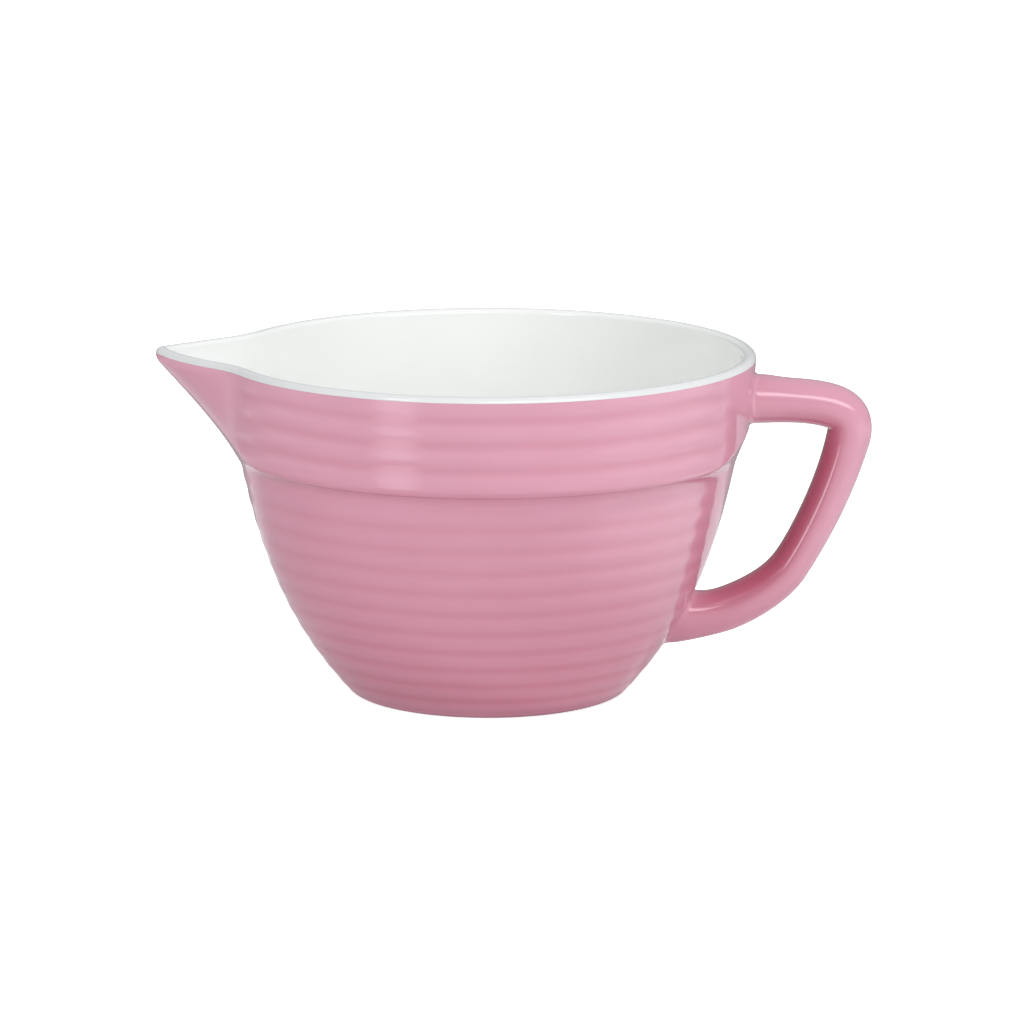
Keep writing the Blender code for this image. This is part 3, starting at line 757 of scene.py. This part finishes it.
def studio_way(azimuth, elevation):
    """Direction from the bowl, by degrees from the front (-Y) to the right and up."""
    a = math.radians(azimuth)
    e = math.radians(elevation)
    return Vector((math.sin(a) * math.cos(e), -math.cos(a) * math.cos(e), math.sin(e)))


def add_camera():
    """Stands where the photograph was taken, with the bowl's axis at its pixel."""
    data = bpy.data.cameras.new("camera")
    data.sensor_width = SENSOR_WIDTH
    data.lens = PIXELS_PER_METRE * CAMERA_DISTANCE / IMAGE_SIZE * SENSOR_WIDTH
    data.shift_x = 0.5 - TARGET_PIXEL[0] / IMAGE_SIZE
    data.shift_y = TARGET_PIXEL[1] / IMAGE_SIZE - 0.5
    camera = bpy.data.objects.new("camera", data)
    way = studio_way(CAMERA_TURN, CAMERA_ELEVATION)
    camera.location = Vector((AXIS_X, 0.0, TARGET_HEIGHT)) + way * CAMERA_DISTANCE
    camera.rotation_euler = (-way).to_track_quat("-Z", "Y").to_euler()
    bpy.context.scene.collection.objects.link(camera)
    bpy.context.scene.camera = camera


def flat_mesh(name, corners):
    """A mesh of one face."""
    data = bpy.data.meshes.new(name)
    data.from_pydata(corners, [], [range(len(corners))])
    return data


def add_floor():
    """A pale floor that the camera sees as white and the glaze as nearly white, and that takes shadow."""
    half = FLOOR_HALF_WIDTH
    data = flat_mesh("floor", [(-half, -half, 0), (half, -half, 0), (half, half, 0), (-half, half, 0)])
    material, nodes, links, shader = new_material("floor_white")
    shader.inputs["Base Color"].default_value = (*FLOOR_COLOUR, 1.0)
    shader.inputs["Roughness"].default_value = 1.0
    shader.inputs["Specular IOR Level"].default_value = 0.0
    shader.inputs["Emission Color"].default_value = (1.0, 1.0, 1.0, 1.0)
    path = nodes.new("ShaderNodeLightPath")
    whitening = scaled(nodes, links, path.outputs["Is Camera Ray"], FLOOR_WHITENING)
    for kind in ("Is Glossy Ray", "Is Transmission Ray"):
        whitening = added(nodes, links, whitening, scaled(nodes, links, path.outputs[kind], FLOOR_SHEEN))
    links.new(whitening, shader.inputs["Emission Strength"])
    data.materials.append(material)
    floor = bpy.data.objects.new("floor", data)
    bpy.context.scene.collection.objects.link(floor)


def add_softbox(name, azimuth, elevation, width, height, brightness, in_glaze):
    """An area light facing the bowl. Its power goes with its area, so its face is as bright as given."""
    data = bpy.data.lights.new(name, "AREA")
    data.shape = "RECTANGLE"
    data.size = width
    data.size_y = height
    data.energy = brightness * math.pi * width * height
    data.color = COOL_WHITE
    light = bpy.data.objects.new(name, data)
    way = studio_way(azimuth, elevation)
    light.location = Vector((AXIS_X, 0.0, TARGET_HEIGHT)) + way * SOFTBOX_DISTANCE
    light.rotation_euler = (-way).to_track_quat("-Z", "Y").to_euler()
    light.visible_camera = False
    light.visible_glossy = in_glaze
    bpy.context.scene.collection.objects.link(light)


def add_card(name, azimuth, distance, rise, tilt, width, height, brightness):
    """A card with soft edges beside the bowl, which shows in its glaze only. A tilt of 90 lays it flat."""
    x = width / 2.0
    z = height / 2.0
    data = flat_mesh(name, [(-x, 0, -z), (x, 0, -z), (x, 0, z), (-x, 0, z)])
    material, nodes, links, shader = new_material(name)
    nodes.remove(shader)
    place = nodes.new("ShaderNodeTexCoord")
    shape = nodes.new("ShaderNodeVectorMath")
    shape.operation = "DIVIDE"
    shape.inputs[1].default_value = (x, 1.0, z)
    links.new(place.outputs["Object"], shape.inputs[0])
    from_middle = nodes.new("ShaderNodeVectorMath")
    from_middle.operation = "LENGTH"
    links.new(shape.outputs["Vector"], from_middle.inputs[0])
    share = nodes.new("ShaderNodeMapRange")
    share.interpolation_type = "SMOOTHSTEP"
    share.inputs["From Min"].default_value = 1.0
    share.inputs["From Max"].default_value = CARD_CORE
    links.new(from_middle.outputs["Value"], share.inputs["Value"])
    clear = nodes.new("ShaderNodeBsdfTransparent")
    glow = nodes.new("ShaderNodeEmission")
    glow.inputs["Color"].default_value = (*COOL_WHITE, 1.0)
    glow.inputs["Strength"].default_value = brightness
    mix = nodes.new("ShaderNodeMixShader")
    links.new(share.outputs["Result"], mix.inputs["Fac"])
    links.new(clear.outputs["BSDF"], mix.inputs[1])
    links.new(glow.outputs["Emission"], mix.inputs[2])
    links.new(mix.outputs["Shader"], nodes["Material Output"].inputs["Surface"])
    data.materials.append(material)
    card = bpy.data.objects.new(name, data)
    card.location = Vector((AXIS_X, 0.0, rise)) + studio_way(azimuth, 0.0) * distance
    card.rotation_euler = (math.radians(tilt), 0.0, math.radians(azimuth))
    card.visible_camera = False
    card.visible_diffuse = False
    card.visible_shadow = False
    card.visible_transmission = False
    bpy.context.scene.collection.objects.link(card)


def add_light():
    """A small key light from the upper right, soft light from all round, and cards that shape the gloss."""
    for name, values in SOFTBOXES.items():
        add_softbox(name, *values)
    for name, values in CARDS.items():
        add_card(name, *values)
    world = bpy.data.worlds.new("studio")
    world.use_nodes = True
    background = world.node_tree.nodes["Background"]
    background.inputs["Color"].default_value = (*COOL_WHITE, 1.0)
    background.inputs["Strength"].default_value = ROOM_BRIGHTNESS
    bpy.context.scene.world = world


def dress(piece, node):
    """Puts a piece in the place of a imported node."""
    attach(piece, "root")
    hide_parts(node)


def main():
    pink = pink_glaze()
    dress(add_bowl_shell(pink), "bowl_body")
    dress(add_white_lining(white_glaze()), "white_liner")
    dress(add_ear_handle(pink), "handle")
    upper = add_slip_fillet("upper_slip_fillet", UPPER_ARM_HEIGHT, UPPER_END_THICKNESS, pink)
    dress(upper, "upper_slip_joint")
    lower = add_slip_fillet("lower_slip_fillet", LOWER_ARM_HEIGHT, LOWER_END_THICKNESS, pink)
    dress(lower, "lower_slip_joint")
    add_floor()
    add_light()
    add_camera()
    bpy.context.scene.view_settings.view_transform = "Standard"


main()
